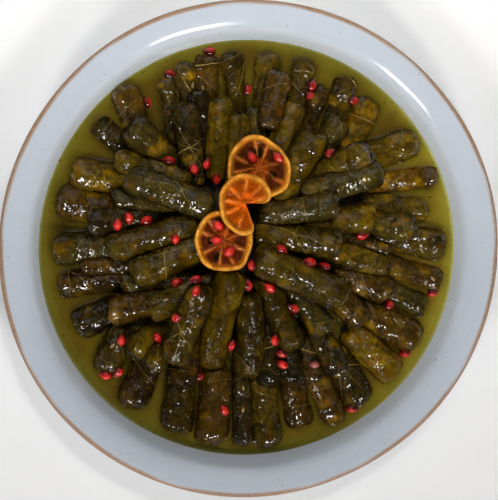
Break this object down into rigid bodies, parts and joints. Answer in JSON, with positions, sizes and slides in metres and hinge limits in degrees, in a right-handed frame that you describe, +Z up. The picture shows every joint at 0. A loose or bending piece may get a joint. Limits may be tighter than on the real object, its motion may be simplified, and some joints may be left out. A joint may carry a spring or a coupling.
{
  "type": "platter of dolma",
  "caption": "Round shallow stoneware dish of stuffed leaf rolls heaped like spokes in broth, topped with citrus slices and pomegranate seeds.",
  "frame": {"origin": "centre of the underside of the dish's foot ring", "axes": "+Z up along the dish's centre line, +X to the right and +Y to the back as the platter is looked down on"},
  "size_m": [0.3494, 0.3494, 0.0716],
  "materials": {
    "stoneware": "glossy",
    "broth": "wet",
    "leaf": "oily",
    "leaf_dark": "oily",
    "leaf_gold": "oily",
    "citrus": "wet"
  },
  "bodies": {
    "root": {"dish": "stoneware", "broth": "broth", "packed_middle": "leaf", "citrus_slice_back": "citrus", "citrus_slice_left": "citrus", "citrus_slice_top": "citrus", "outer_roll_01": "leaf_dark", "outer_roll_02": "leaf", "outer_roll_03": "leaf_dark", "outer_roll_04": "leaf", "outer_roll_05": "leaf", "outer_roll_06": "leaf_dark", "outer_roll_07": "leaf", "outer_roll_08": "leaf", "outer_roll_09": "leaf", "outer_roll_10": "leaf_dark", "outer_roll_11": "leaf_gold", "outer_roll_12": "leaf_gold", "outer_roll_13": "leaf", "outer_roll_14": "leaf", "outer_roll_15": "leaf", "outer_roll_16": "leaf", "outer_roll_17": "leaf_dark", "outer_roll_18": "leaf", "outer_roll_19": "leaf_gold", "outer_roll_20": "leaf_dark", "outer_roll_21": "leaf", "outer_roll_22": "leaf", "outer_roll_23": "leaf", "outer_roll_24": "leaf_dark", "outer_roll_25": "leaf", "outer_roll_26": "leaf", "outer_roll_27": "leaf", "outer_roll_28": "leaf", "outer_roll_29": "leaf_dark", "outer_roll_30": "leaf", "outer_roll_31": "leaf_dark", "outer_roll_32": "leaf", "outer_roll_33": "leaf_gold", "middle_roll_01": "leaf", "middle_roll_02": "leaf", "middle_roll_03": "leaf", "middle_roll_04": "leaf", "middle_roll_05": "leaf_gold", "middle_roll_06": "leaf", "middle_roll_07": "leaf", "middle_roll_08": "leaf", "middle_roll_09": "leaf", "middle_roll_10": "leaf", "middle_roll_11": "leaf", "middle_roll_12": "leaf", "middle_roll_13": "leaf", "top_roll_01": "leaf", "top_roll_02": "leaf_dark", "top_roll_03": "leaf", "top_roll_04": "leaf", "top_roll_05": "leaf", "top_roll_06": "leaf_gold", "top_roll_07": "leaf", "top_roll_08": "leaf"}
  },
  "joints": []
}
